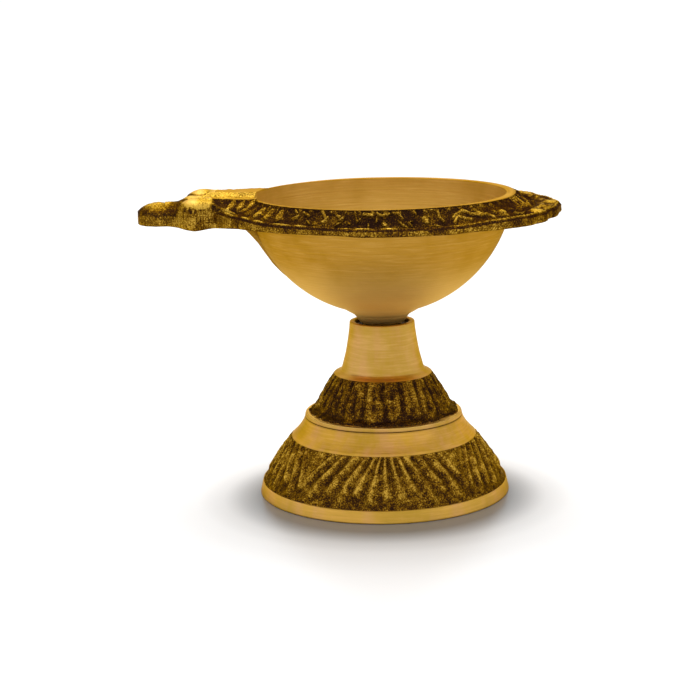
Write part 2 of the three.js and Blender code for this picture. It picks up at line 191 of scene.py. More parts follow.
def mesh_piece(name, grid, body, node, slot, material, closed_rows=False, **marks):
    """A closed mesh from a grid whose columns wrap. Its rows wrap too, or each end closes on one point.
    marks are values for each grid point, kept as named attributes that the material reads."""
    rows, columns = grid.shape[:2]
    points = grid.reshape(-1, 3)
    marks = {key: np.broadcast_to(value, (rows, columns)).reshape(-1) for key, value in marks.items()}
    i, j = np.meshgrid(np.arange(rows if closed_rows else rows - 1), np.arange(columns), indexing="ij")
    i, j = i.ravel(), j.ravel()
    down, across = (i + 1) % rows, (j + 1) % columns
    corners = (i, j), (i, across), (down, across), (down, j)
    quads = np.stack([row * columns + column for row, column in corners], axis=1)
    faces = quads.tolist()
    if not closed_rows:
        ends = [grid[0].mean(axis=0), grid[-1].mean(axis=0)]
        first, last = len(points), len(points) + 1
        points = np.vstack([points, ends])
        base = (rows - 1) * columns
        for k in range(columns):
            after = (k + 1) % columns
            faces.append([first, after, k])
            faces.append([last, base + k, base + after])
        marks = {key: np.concatenate([v, [v[0], v[-1]]]) for key, v in marks.items()}
    halves = [[points[quads[:, corner]] for corner in half] for half in ((0, 1, 2), (0, 2, 3))]
    volume = sum(np.einsum("ij,ij->", a, np.cross(b, c)) for a, b, c in halves)
    if volume < 0:
        faces = [face[::-1] for face in faces]
    metres = (points + [AXIS_X, 0, 0]) * MM
    mesh = bpy.data.meshes.new(name)
    mesh.from_pydata(metres.tolist(), [], faces)
    mesh.polygons.foreach_set("use_smooth", np.ones(len(faces), bool))
    for key, value in marks.items():
        attribute = mesh.attributes.new(key, "FLOAT", "POINT")
        attribute.data.foreach_set("value", value.astype(np.float32))
    mesh.materials.append(material)
    piece = bpy.data.objects.new(name, mesh)
    bpy.context.scene.collection.objects.link(piece)
    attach(piece, body)
    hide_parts(node)


def bowl_piece(name, grid, closed_rows=False, **marks):
    mesh_piece(name, grid, "bowl", "bowl_casting", "turned_brass", amber_brass, closed_rows, **marks)


def stand_piece(name, grid, node, material, section, closed_rows=False, **marks):
    run = run_length(section)[:, None]
    mesh_piece(name, grid, "stand", node, "cast_brass", material, closed_rows, run=run, **marks)


# --- materials


class Nodes:
    """Adds nodes to a material and joins them."""

    def __init__(self, name):
        self.material = bpy.data.materials.new(name)
        self.material.use_nodes = True
        self.tree = self.material.node_tree
        self.shader = self.tree.nodes["Principled BSDF"]

    def add(self, kind, **values):
        node = self.tree.nodes.new(kind)
        for key, value in values.items():
            setattr(node, key, value)
        return node

    def link(self, source, target):
        self.tree.links.new(source, target)

    def feed(self, node, socket, value):
        if isinstance(value, bpy.types.NodeSocket):
            self.link(value, node.inputs[socket])
        else:
            node.inputs[socket].default_value = value

    def surface(self, socket, value):
        self.feed(self.shader, socket, value)

    def fill(self, node, **inputs):
        for socket, value in inputs.items():
            self.feed(node, socket, value)

    def math(self, operation, a, b=0.0, clamp=False):
        node = self.add("ShaderNodeMath", operation=operation, use_clamp=clamp)
        self.feed(node, 0, a)
        self.feed(node, 1, b)
        return node.outputs[0]

    def mark(self, name):
        return self.add("ShaderNodeAttribute", attribute_name=name).outputs["Fac"]

    def place(self):
        return self.add("ShaderNodeTexCoord").outputs["Object"]

    def stretched(self, scale):
        node = self.add("ShaderNodeMapping")
        self.fill(node, Vector=self.place(), Scale=scale)
        return node.outputs[0]

    def noise(self, vector, scale, detail=2.0, roughness=0.5):
        node = self.add("ShaderNodeTexNoise")
        self.fill(node, Vector=vector, Scale=scale, Detail=detail, Roughness=roughness)
        return node.outputs["Fac"]

    def line_noise(self, along, scale, detail=3.0):
        """Noise of one number, for marks that run round the turned axis."""
        node = self.add("ShaderNodeTexNoise", noise_dimensions="1D")
        self.fill(node, W=along, Scale=scale, Detail=detail)
        return node.outputs["Fac"]

    def range(self, value, low, high, to_low=0.0, to_high=1.0):
        node = self.add("ShaderNodeMapRange", clamp=True)
        limits = {"From Min": low, "From Max": high, "To Min": to_low, "To Max": to_high}
        self.fill(node, Value=value, **limits)
        return node.outputs["Result"]

    def ramp(self, value, stops):
        node = self.add("ShaderNodeValToRGB")
        self.link(value, node.inputs["Fac"])
        elements = node.color_ramp.elements
        while len(elements) < len(stops):
            elements.new(0.5)
        for element, (at, colour) in zip(elements, stops):
            element.position = at
            element.color = (*colour, 1)
        return node.outputs["Color"]

    def blend(self, fac, a, b):
        node = self.add("ShaderNodeMix", data_type="RGBA")
        self.feed(node, 0, fac)
        for socket, value in ((6, a), (7, b)):
            self.feed(node, socket, value if isinstance(value, bpy.types.NodeSocket) else (*value, 1))
        return node.outputs[2]

    def bump(self, height, distance, strength, onto=None):
        node = self.add("ShaderNodeBump")
        self.fill(node, Height=height, Distance=distance, Strength=strength)
        if onto is not None:
            self.link(onto, node.inputs["Normal"])
        return node.outputs["Normal"]


# Base colours, linear.
PALE_BRASS = (0.56, 0.325, 0.085)
FOOT_BRASS = (0.6, 0.325, 0.05)
AMBER_BRASS = (0.5, 0.27, 0.04)
BOWL_TARNISH = (0.4, 0.205, 0.003)
BRIGHT_BRASS = (0.88, 0.57, 0.16)
OLIVE_BRASS = (0.4, 0.235, 0.01)
ROSY_BRASS = (0.6, 0.3, 0.13)
PATINA_DARK = (0.026, 0.0105, 0.0065)
PATINA_MID = (0.09, 0.037, 0.0045)
CAST_OLIVE = (0.23, 0.113, 0.005)
CAST_GOLD = (0.6, 0.365, 0.05)
EDGE_TINT = (0.82, 0.65, 0.36)
BOWL_EDGE_TINT = (0.55, 0.46, 0.32)
ZINC_DULL = (0.42, 0.43, 0.44)
ZINC_BRIGHT = (0.66, 0.67, 0.69)
FIBRE_DARK = (0.012, 0.007, 0.004)
FIBRE_PALE = (0.055, 0.032, 0.018)
# Heights in the as-cast surface and the colour at each.
CAST_STOPS = ((0.08, PATINA_DARK), (0.33, PATINA_MID), (0.6, CAST_OLIVE), (0.95, CAST_GOLD))

# Noise scales, per metre except the turning marks, which are per millimetre along the section.
TURNING_SCALE = 2.2
CLOUD_SCALE = 75
STREAK_SCALE, STREAK_STRETCH = 240, (1, 1, 0.12)
WIPED_SCALE, WIPED_STRETCH = 700, (0.2, 0.2, 3.0)
GRAIN_SCALE = 3000
PATCH_SCALE = 420
# Where each noise starts and stops to tint the polished metal, and how much of the tint it gives there.
CLOUD_TINT = (0.42, 0.64, 0, 0.7)
STREAK_TINT = (0.44, 0.68, 0, 0.55)
WIPED_DARK = (0.42, 0.7, 0, 0.4)
WIPED_BRIGHT = (0.46, 0.3, 0, 0.14)
PAINTED_SHADE_STRENGTH = 0.92
GRAIN_DEPTH = 2.0
PATCH_DEPTH = 0.9
CAST_ROUGHNESS = (0.62, 0.38)
TURNED_BUMP = 0.00005
CAST_BUMP = 0.00022


def brass(name, polished, tarnish, rosy, polish_roughness, edge_tint):
    """Turned brass where the aged mark is 0 and dark as-cast brass where it is 1. The relief mark runs from
    the bottom of the pattern (0) to its worn tops (1), partly a painted highlight on the flange's border and
    the spout, and above 0.5 it makes turned brass paler, which low on the bowl and round its boss is painted
    light. run is the distance along the section, and the painted-shade mark darkens corners, recesses and
    undersides where shade falls."""
    n = Nodes(name)
    aged, relief, grime, run = n.mark("aged"), n.mark("relief"), n.mark("grime"), n.mark("run")
    place = n.place()

    turning = n.line_noise(run, TURNING_SCALE)
    cloud = n.noise(place, CLOUD_SCALE, 3)
    streak = n.noise(n.stretched(STREAK_STRETCH), STREAK_SCALE, 3)
    wiped = n.noise(n.stretched(WIPED_STRETCH), WIPED_SCALE, 4, 0.6)
    clean = n.blend(n.range(cloud, *CLOUD_TINT), polished, tarnish)
    clean = n.blend(n.range(streak, *STREAK_TINT), clean, rosy)
    clean = n.blend(n.range(wiped, *WIPED_DARK), clean, tarnish)
    clean = n.blend(n.range(wiped, *WIPED_BRIGHT), clean, BRIGHT_BRASS)
    # Above 0.5 the relief mark paints turned brass paler: painted light low on the bowl and a painted
    # highlight on the ring round the boss's foot.
    clean = n.blend(n.range(relief, 0.5, 1.0), clean, BRIGHT_BRASS)
    # Painted shade: the painted-shade mark darkens corners, recesses and undersides towards the dark patina
    # colour.
    clean = n.blend(n.math("MULTIPLY", grime, PAINTED_SHADE_STRENGTH), clean, PATINA_DARK)

    grain = n.noise(place, GRAIN_SCALE, 2, 0.6)
    patch = n.noise(place, PATCH_SCALE, 3)
    height = n.math("ADD", relief, n.math("MULTIPLY", n.math("SUBTRACT", grain, 0.5), GRAIN_DEPTH))
    patches = n.math("MULTIPLY", n.math("SUBTRACT", patch, 0.5), PATCH_DEPTH)
    height = n.math("ADD", height, patches, clamp=True)
    n.surface("Base Color", n.blend(aged, clean, n.ramp(height, CAST_STOPS)))

    n.surface("Metallic", 1.0)
    n.surface("Specular Tint", (*edge_tint, 1))
    marked = n.math("ADD", turning, cloud)
    smooth = n.range(marked, 0.7, 1.3, polish_roughness - 0.05, polish_roughness + 0.1)
    dull = n.range(height, 0.2, 0.9, *CAST_ROUGHNESS)
    roughness = n.add("ShaderNodeMix", data_type="FLOAT")
    n.feed(roughness, 0, aged)
    n.feed(roughness, 2, smooth)
    n.feed(roughness, 3, dull)
    n.surface("Roughness", roughness.outputs[0])

    lines = n.math("ADD", turning, n.math("MULTIPLY", wiped, 1.5))
    lines = n.math("MULTIPLY", lines, n.math("SUBTRACT", 1.0, aged))
    normal = n.bump(lines, TURNED_BUMP, 0.5)
    grit = n.math("MULTIPLY", n.math("ADD", grain, n.math("MULTIPLY", patch, 0.6)), aged)
    n.surface("Normal", n.bump(grit, CAST_BUMP, 0.9, normal))
    return n.material


def steel(name):
    """Zinc-plated steel with a dull blotched sheen."""
    n = Nodes(name)
    cloud = n.noise(n.place(), 500, 3)
    n.surface("Base Color", n.ramp(cloud, ((0.3, ZINC_DULL), (0.7, ZINC_BRIGHT))))
    n.surface("Metallic", 1.0)
    n.surface("Roughness", n.range(cloud, 0.3, 0.7, 0.3, 0.48))
    n.surface("Normal", n.bump(n.noise(n.place(), 4000, 2), 0.00003, 0.5))
    return n.material


def fibre(name):
    """Oil-dark pressed fibre with short strands."""
    n = Nodes(name)
    strands = n.noise(n.stretched((1, 1, 6)), 1800, 4, 0.65)
    n.surface("Base Color", n.ramp(strands, ((0.3, FIBRE_DARK), (0.7, FIBRE_PALE))))
    n.surface("Roughness", n.range(strands, 0.3, 0.7, 0.55, 0.85))
    n.surface("Normal", n.bump(strands, 0.0001, 0.8))
    return n.material


STEM_ROUGHNESS = 0.36
FOOT_ROUGHNESS = 0.38
BOWL_ROUGHNESS = 0.56
pale_brass = brass("pale_turned_brass", PALE_BRASS, OLIVE_BRASS, ROSY_BRASS, STEM_ROUGHNESS, EDGE_TINT)
foot_brass = brass("foot_turned_brass", FOOT_BRASS, OLIVE_BRASS, ROSY_BRASS, FOOT_ROUGHNESS, EDGE_TINT)
amber_brass = brass(
    "amber_turned_brass", AMBER_BRASS, BOWL_TARNISH, AMBER_BRASS, BOWL_ROUGHNESS, BOWL_EDGE_TINT
)
zinc_steel = steel("zinc_plated_steel")
oiled_fibre = fibre("oiled_fibre")

# --- foot

FOOT_RIM_TOP = np.array([32.05, 3.95])
FOOT_BAND_START = np.array([32.4, 3.3])
FOOT_BAND_END = np.array([24.35, 14.95])
FOOT_COVE = ((23.4, 15.9), (22.35, 17.1), (21.55, 18.3), (21.0, 19.4))
FOOT_CONE_END_R = 20.75
FOOT_COLUMNS = 720
FOOT_BAND_ROWS = 62
FOOT_WALL = 3.2
FOOT_WEB_Z = 16.2
BOLT_CLEARANCE_R = 3.3
FOOT_RIM_CORNER = (32.21, 3.29)
FOOT_RIM_PALE = 0.58
FOOT_FURROW_DEPTH = 0.5
FOOT_RIDGE_HEIGHT = 0.8
FOOT_CROWN = 0.2
FANS = 4
FAN_LEAN = math.radians(10.8)
FAN_LEAN_SKEW = math.radians(1.8)
FAN_LEAN_REACH = math.radians(28)
RIDGES_PER_FAN = 12


def fan_ridges(angle, v):
    """Ridges that lean out from the middle of each fan and crowd together at its top: 0 in a furrow, 1 on a
    ridge. v runs up the band from 0 to 1. Returns each point's ridge number too."""
    fan_width = 2 * math.pi / FANS
    from_middle = (angle + math.pi / 2 + fan_width / 2) % fan_width - fan_width / 2
    side = np.abs(from_middle)
    lean = FAN_LEAN - FAN_LEAN_SKEW * np.sign(from_middle)
    foot_angle = side.copy()
    for _ in range(6):
        full_lean = np.sin(np.pi / 2 * np.clip(foot_angle / FAN_LEAN_REACH, 0, 1))
        foot_angle = side + lean * full_lean * v**1.8
    phase = foot_angle / (fan_width / RIDGES_PER_FAN)
    crest = 0.5 + 0.5 * np.cos(2 * np.pi * phase)
    ridge = 0.8 * crest + 0.2 * crest**4
    flat = smoothstep(foot_angle, fan_width / 2, fan_width / 2 + math.radians(1.5))
    return mix(ridge, 0.4, flat), phase


def foot_casting():
    """The hollow foot: rim, band of fans, turned cove and the web inside that the bolt goes through."""
    below = outline([(FOOT_R - FOOT_WALL, 0.0, 0), (FOOT_R, 0.0, 0.3), (*FOOT_RIM_CORNER, 0)], 0.5)
    above = outline([
        (FOOT_BAND_END[0] - 0.05, FOOT_BAND_END[1] + 0.1, 0), *((r, z, 0.4) for r, z in FOOT_COVE),
        (FOOT_CONE_END_R, FOOT_TOP_Z, 0.1), (BOLT_CLEARANCE_R, FOOT_TOP_Z, 0.2),
        (BOLT_CLEARANCE_R, FOOT_WEB_Z, 0.2), (FOOT_BAND_END[0] - FOOT_WALL, FOOT_WEB_Z, 2.0),
        (FOOT_RIM_TOP[0] - FOOT_WALL, FOOT_RIM_TOP[1], 2.0), (FOOT_R - FOOT_WALL, 0.0, 0),
    ], 2.0, 3)[:-1]
    section, grid, rows, points, angle, v = banded(
        below, FOOT_BAND_START, FOOT_BAND_END, FOOT_BAND_ROWS, above, FOOT_COLUMNS
    )

    wander = lumps(points, 5.0)
    ridge, phase = fan_ridges(angle + math.radians(1.3) * lumps(points, 7.0), v)
    tongue_end = 0.13 + 0.06 * np.cos(3 * np.pi * np.round(phase)) + 0.07 * wander
    ridge = ridge * smoothstep(v, tongue_end, tongue_end + 0.14)
    ridge = ridge * mix(0.75, 1.1, smoothstep(rough(points + 90, 6.0, 2), -0.5, 0.6))
    height = -FOOT_FURROW_DEPTH + FOOT_RIDGE_HEIGHT * ridge + FOOT_CROWN * np.sin(np.pi * v)
    height = height + 0.13 * rough(points, 1.3) + 0.08 * wander
    height = np.minimum(height, 0.5)
    height = mix(height, -0.05, smoothstep(v, 0.95, 1.0))
    r, z = raise_band(points, height, FOOT_BAND_START, FOOT_BAND_END)
    turned_r = FOOT_R - (FOOT_R - FOOT_RIM_TOP[0]) / FOOT_RIM_TOP[1] * z
    cut = r > turned_r
    r = np.where(cut, turned_r, r)
    grid[rows] = round_axis(r, angle, z)

    aged, relief, grime = turned_marks(grid)
    aged[rows] = np.where(cut & (v < 0.2), 0.0, 1.0)
    relief[: len(below)] = FOOT_RIM_PALE
    relief[rows] = np.clip(0.34 + 0.42 * ridge + 0.1 * wander + 0.16 * rough(points, 0.9, 2), 0, 1)
    bore = len(below) + FOOT_BAND_ROWS + np.argmin(above[:, 0])
    inside = (section[:, 1] < FOOT_WEB_Z + 0.01) & (np.arange(len(section)) > bore)
    aged[inside] = 0.85
    relief[inside] = 0.42
    # Painted shade darkens the top of the foot, under the stem.
    grime[:] = 0.35 * smoothstep(section[:, 1], FOOT_TOP_Z - 0.5, FOOT_TOP_Z)[:, None]
    marks = {"aged": aged, "relief": relief, "grime": grime}
    stand_piece("foot_shell", grid, "foot_casting", foot_brass, section, closed_rows=True, **marks)


# --- stem

STEM_BAND_START = np.array([18.95, 21.15])
STEM_BAND_END = np.array([12.95, 31.54])
STEM_COLUMNS = 660
STEM_BAND_ROWS = 60
LEDGE_Z = 21.4
CUP_R = 7.2
STUD_BORE_R = STUD_R + 0.2
STUD_BORE_BOTTOM_Z = 35.2
STEM_BOSS_R = 6.4
STEM_HOLLOW_TOP_Z = 29.5
STEM_WALL = 2.7
BOLT_BORE_TOP_Z = 30.2
STEM_FLARE = ((12.8, 31.62), (12.2, 31.9), (11.65, 32.12), (11.2, 32.4), (10.85, 32.85), (10.6, 33.6))
STEM_CONE = ((10.2, 35.1), (9.7, 37.0), (9.38, 38.7), (9.1, 40.3), (8.86, 41.9), (8.64, 43.5))
STEM_TOP_R = 8.49
STEM_FURROW_DEPTH = 0.4
STEM_PETAL_HEIGHT = 0.45
STEM_CROWN = 0.15
LEDGE_PALE = 0.85
PETALS = 20


def upright_petals(angle, v, points):
    """Upright tongues with round lower ends and a dark slot down the middle of each."""
    width = 2 * math.pi / PETALS
    sway = 0.12 * lumps(points * [1, 1, 0.35], 6.0) + 0.05 * lumps(points * [1, 1, 0.6], 2.5)
    u = ((angle / width + sway) % 1.0) - 0.5
    size = 0.5 * mix(0.98, 0.86, v)
    bottom = 0.1 + 0.06 * np.cos(5 * angle) + 0.05 * np.cos(11 * angle + 1)
    drop = np.clip((bottom + 0.22 - v) / 0.22, 0, None)
    across = np.sqrt((u / size) ** 2 + drop**2)
    petal = 1 - smoothstep(across, 0.66, 1.02)
    slot = np.exp(-((u / 0.11) ** 2)) * smoothstep(v, 0.18, 0.36) * (1 - smoothstep(v, 0.7, 0.95))
    return np.clip(petal - 0.7 * slot, 0, 1)


def stem_casting():
    """The stem: ring and ledge, band of petals, turned flare and cone, and the cup for the bowl's boss."""
    lower = outline([
        (0.05, BOLT_BORE_TOP_Z, 0), (BOLT_CLEARANCE_R - 0.1, BOLT_BORE_TOP_Z, 0.3),
        (BOLT_CLEARANCE_R - 0.1, STEM_BOTTOM_Z, 0.3), (STEM_BOSS_R, STEM_BOTTOM_Z, 0.4),
        (STEM_BOSS_R, STEM_HOLLOW_TOP_Z, 1.2), (STEM_BAND_END[0] - STEM_WALL, STEM_HOLLOW_TOP_Z, 1.2),
        (STEM_BAND_START[0] - STEM_WALL, STEM_BOTTOM_Z, 0.3), (RING_R - 0.3, STEM_BOTTOM_Z, 0.1),
        (RING_R - 0.35, LEDGE_Z - 0.25, 0.4), (RING_R - 1.0, LEDGE_Z, 0.3),
        (STEM_BAND_START[0] + 0.1, LEDGE_Z - 0.03, 0),
    ], 2.5, 3)
    upper = outline([
        *((r, z, 0) for r, z in STEM_FLARE + STEM_CONE),
        (STEM_TOP_R, STEM_TOP_Z, 0.25), (CUP_R, STEM_TOP_Z, 0.2), (CUP_R, CUP_FLOOR_Z, 0.3),
        (STUD_BORE_R, CUP_FLOOR_Z, 0.25), (STUD_BORE_R, STUD_BORE_BOTTOM_Z, 0.2),
        (0.05, STUD_BORE_BOTTOM_Z, 0),
    ], 1.2, 3)
    section, grid, rows, points, angle, v = banded(
        lower, STEM_BAND_START, STEM_BAND_END, STEM_BAND_ROWS, upper, STEM_COLUMNS
    )

    petal = upright_petals(angle, v, points)
    wander = lumps(points, 4.0)
    height = -STEM_FURROW_DEPTH + STEM_PETAL_HEIGHT * petal + STEM_CROWN * np.sin(np.pi * v)
    height = height + 0.12 * rough(points, 1.1) + 0.1 * wander
    height = mix(height, -0.05, smoothstep(v, 0.93, 1.0))
    skirt = 0.85 + 0.75 * lumps(points, 4.2) + 0.4 * rough(points + 50, 1.3, 2)
    height = height + skirt * smoothstep(v, 0.16, 0.03)
    r, z = raise_band(points, height, STEM_BAND_START, STEM_BAND_END)
    cut = (z < LEDGE_Z) & (v < 0.3)
    z = np.where(cut, LEDGE_Z - 0.03, z)
    grid[rows] = round_axis(r, angle, z)

    aged, relief, grime = turned_marks(grid)
    aged[rows] = np.where(cut, 0.0, 1.0)
    on_ledge = (section[:, 1] > LEDGE_Z - 0.3) & (section[:, 1] < LEDGE_Z + 0.01)
    relief[on_ledge & (section[:, 0] > STEM_BAND_START[0])] = LEDGE_PALE
    relief[rows] = np.clip(0.12 + 0.32 * petal + 0.16 * wander + 0.14 * rough(points, 0.9, 2), 0, 1)
    inside = (np.arange(len(section)) < len(lower)) & (section[:, 0] < STEM_BAND_START[0] - STEM_WALL + 0.1)
    aged[inside] = 0.85
    relief[inside] = 0.4
    height_at = section[:, 1:2]
    # Painted shade darkens the cup round the bowl's boss, more deeply lower down, and the foot of the ring
    # where it sits on the foot casting.
    in_cup = (section[:, :1] < CUP_R + 0.3) & (height_at > STUD_BORE_BOTTOM_Z - 1)
    grime[:] = np.where(in_cup, smoothstep(STEM_TOP_Z - height_at, 0.05, 0.8), 0)
    on_ring = smoothstep(STEM_BOTTOM_Z + 0.5 - height_at, 0, 0.5) * (section[:, :1] > RING_R - 1)
    grime[:] = np.maximum(grime, 0.3 * on_ring)
    marks = {"aged": aged, "relief": relief, "grime": grime}
    stand_piece("stem_shell", grid, "stem_casting", pale_brass, section, **marks)


# --- bowl

BALL_R = 34.45
BALL_Z = 82.0
BOWL_INNER_R = 32.7
LIP_Z = 78.8
LIP_EDGE = 0.4
BOWL_COLUMNS = 512
BALL_END_R = 10.5
BOSS_SIDE = ((9.1, 48.35), (7.3, 47.3), (6.5, 46.2), (6.2, 45.7))
BOSS_FOOT = ((5.45, 44.95), (5.2, 44.85), (5.1, 44.4))
STUD_HOLE_R = 3.35
STUD_HOLE_TOP_Z = 48.0
CHANNEL_FLOOR_Z = 77.7
NOTCH_NEAR_Y = 8.5
NOTCH_FAR_Y = 4.5
# Low on the outside the bowl is painted paler, painted light where it reflects the shaded foot and floor;
# inside it the brass is paler too. Painted shade darkens the boss, and a painted highlight lightens the ring
# round its foot.
BOWL_PAINTED_LIGHT_Z = (66.0, 52.0)
BOWL_INSIDE_PALE = 0.61
BOSS_PAINTED_SHADE_Z = (49.0, 46.6)


def bowl_cup():
    """The turned bowl: a part ball with a thin lip, a notch for the wick channel and the boss under it."""
    lip_inner = math.sqrt(BOWL_INNER_R**2 - (BALL_Z - LIP_Z) ** 2)
    end_z = BALL_Z - math.sqrt(BALL_R**2 - BALL_END_R**2)
    inside = ball_arc(BOWL_INNER_R, BALL_Z, BALL_Z - BOWL_INNER_R + 0.0004, LIP_Z - 0.3, 48)
    lip = outline([
        (inside[-1][0], inside[-1][1], 0), (lip_inner, LIP_Z, 0.2), (lip_inner + LIP_EDGE, LIP_Z, 0.08),
        (lip_inner + LIP_EDGE, LIP_Z - 1.0, 0.1), (lip_inner + LIP_EDGE + 0.1, 76.5, 0.2),
        (BALL_R - 1.15, 75.6, 0.2), (BALL_R - 0.8, 75.1, 0),
    ], 0.35)[1:]
    outside = ball_arc(BALL_R, BALL_Z, 74.8, end_z, 48)
    boss = outline([
        *((r, z, 0) for r, z in BOSS_SIDE),
        (*BOSS_FOOT[0], 0.1), (*BOSS_FOOT[1], 0.05), (*BOSS_FOOT[2], 0.1),
        (STUD_HOLE_R, BOSS_BOTTOM_Z, 0.15), (STUD_HOLE_R, STUD_HOLE_TOP_Z, 0.2), (0.05, STUD_HOLE_TOP_Z, 0),
    ], 0.4)
    section = np.vstack([inside, lip, outside, boss])
    grid = revolve(section, BOWL_COLUMNS)
    beside = np.abs(grid[..., 1] - (NOTCH_FAR_Y - NOTCH_NEAR_Y) / 2) - (NOTCH_FAR_Y + NOTCH_NEAR_Y) / 2
    notch = mix(CHANNEL_FLOOR_Z - 0.1, LIP_Z + 1, smoothstep(beside, -0.3, 0.3))
    at_spout = grid[..., 0] < -20
    grid[..., 2] = np.where(at_spout, np.minimum(grid[..., 2], notch), grid[..., 2])
    height = section[:, 1:2]
    # A painted highlight on the ring round the boss's foot.
    highlight_ring = smoothstep(np.abs(height - BOSS_FOOT[0][1] - 0.45), 0.34, 0.2) * (section[:, :1] > 5)
    is_outside = (np.arange(len(section)) >= len(inside))[:, None]
    # Painted shade on the boss under the bowl, darker lower down.
    grime = np.where(is_outside, smoothstep(height, *BOSS_PAINTED_SHADE_Z) * 0.5 * (1 - highlight_ring), 0.0)
    # Painted light: the outside of the bowl grows paler towards the bottom.
    outside_painted_light = 0.5 + 0.46 * smoothstep(height, *BOWL_PAINTED_LIGHT_Z) + 0.4 * highlight_ring
    pale = np.where(is_outside, outside_painted_light, BOWL_INSIDE_PALE)
    bowl_piece("bowl_cup", grid, aged=0.0, relief=pale, grime=grime, run=run_length(section)[:, None])


# --- flange

FLANGE_COLUMNS = 1120
FLANGE_SLOPE_ROWS = 42
FLANGE_INNER_R = 32.88
FLANGE_TAIL_SPAN = 1.08
FLANGE_TAIL_SHARPNESS = 1.5
FLANGE_SPOUT_GAIN = 6.5
FLANGE_BOTTOM_Z = 73.1
SCALLOPS = 29
SCALLOP_DEPTH = 0.3
LEAF_PITCH = 6.1
LEAF_PHASE = 134.5 - LEAF_PITCH / 2
LEAVES_FROM = (129, 132)
FLANGE_WALL_ROWS = 11
FLANGE_UNDER_ROWS = 7
FLANGE_UNDER_DROP = 0.8
BLADE_PITCH = 5.4
BEAD_PITCH = 1.15
BORDER_WIDTH = 1.7
BORDER_DROP = 0.75
SPOUT_SECTOR = math.radians(22)
MM_PER_DEGREE = 0.65
# Border crest heights: degrees from the tail, and mm.
BORDER_CREST = (
    (0, 75.9), (38, 76.0), (50, 75.7), (61, 75.0), (76, 74.9), (98, 75.0), (116, 75.3), (134, 75.5),
    (146, 76.3), (160, 76.8), (180, 76.9),
)
# How worn and bright the border's crest is, partly wear and partly a painted highlight that breaks off along
# the front: degrees from the tail, and 0 to 1.
BORDER_WEAR_AND_HIGHLIGHT = (
    (0, 0.95), (38, 0.9), (50, 0.75), (62, 0.5), (70, 0.2), (80, 0.3), (88, 0.8), (97, 0.75), (104, 0.35),
    (112, 0.4), (120, 0.95), (180, 1.0),
)
# The border's section from the pattern outwards: mm out, share of the crest's height, and shine, how bright
# each point is, with a painted highlight on the crest.
BORDER_SECTION = (
    (0.2, 0.3, 0.3), (0.45, 0.75, 0.75), (0.65, 1.0, 1.0), (0.85, 1.0, 1.0), (1.0, 0.75, 0.8),
    (1.15, 0.35, 0.1), (1.35, 0.1, 0.05), (1.55, -0.1, 0.1),
)
# Raised strokes of the pattern: width and height, then degrees from the tail and share of the slope by turns.
SCROLLS = (
    (0.55, 0.8, 108, 0.18, 107.2, 0.26), (0.5, 0.75, 105.5, 0.27, 107.2, 0.5),
    (0.5, 0.7, 105.6, 0.6, 108.3, 0.88), (0.75, 0.6, 102.8, 0.62, 102, 0.66),
    (0.6, 0.75, 101.2, 0.1, 99.5, 0.5), (0.5, 0.8, 98.5, 0.32, 99.5, 0.54), (0.8, 0.85, 97, 0.12, 93, 0.17),
    (0.5, 0.95, 95, 0.56, 95, 0.88), (0.6, 0.95, 90.5, 0.1, 88.5, 0.2, 86.3, 0.16),
    (0.5, 0.75, 91, 0.32, 92.2, 0.5), (1.35, 0.85, 89.1, 0.6, 88.8, 0.62),
    (0.4, 0.95, 87.9, 0.82, 87.8, 0.84), (0.55, 0.7, 85.2, 0.12, 81.8, 0.14, 80.6, 0.36),
    (0.6, 0.55, 82.6, 0.4, 79.5, 0.78), (0.5, 0.8, 76.6, 0.48, 78.7, 0.62, 77.3, 0.78),
    (0.7, 0.75, 75.7, 0.08, 75.3, 0.14), (1.25, 0.7, 71.9, 0.36, 71.2, 0.5),
    (0.4, 0.75, 70.2, 0.04, 67.3, 0.04), (0.8, 0.75, 65.8, 0.18, 64.6, 0.7),
    (0.6, 0.7, 68.8, 0.75, 66.5, 0.9),
    (0.8, 0.75, 60, 0.42, 58.5, 0.36, 56, 0.3, 53.5, 0.22, 51.6, 0.42, 49, 0.4, 45.6, 0.5, 44.4, 0.72),
    (0.7, 0.7, 60.5, 0.6, 57.6, 0.46, 55.4, 0.55, 53.8, 0.72), (0.9, 0.8, 48.7, 0.24, 47.4, 0.38),
    (1.6, 0.8, 37.8, 0.45, 37.2, 0.47), (1.1, 0.7, 41.6, 0.36, 41.2, 0.4), (0.9, 0.7, 40.5, 0.56, 38, 0.64),
    (1.2, 0.65, 30.5, 0.42, 29.8, 0.45), (0.5, 0.95, 33, 0.6, 31, 0.74, 26, 0.58),
    (0.6, 0.75, 128.6, 0.06, 127.4, 0.16), (0.6, 0.7, 126, 0.26, 127.8, 0.47),
    (0.6, 0.75, 124.2, 0.14, 121.4, 0.26), (1.4, 0.45, 117.4, 0.66, 116.4, 0.7),
    (0.6, 0.75, 115.2, 0.08, 113.4, 0.3), (0.6, 0.7, 113.8, 0.56, 112, 0.34),
    (0.7, 0.6, 111.2, 0.1, 109.6, 0.08), (0.6, 0.6, 121.5, 0.5, 119.4, 0.62),
)


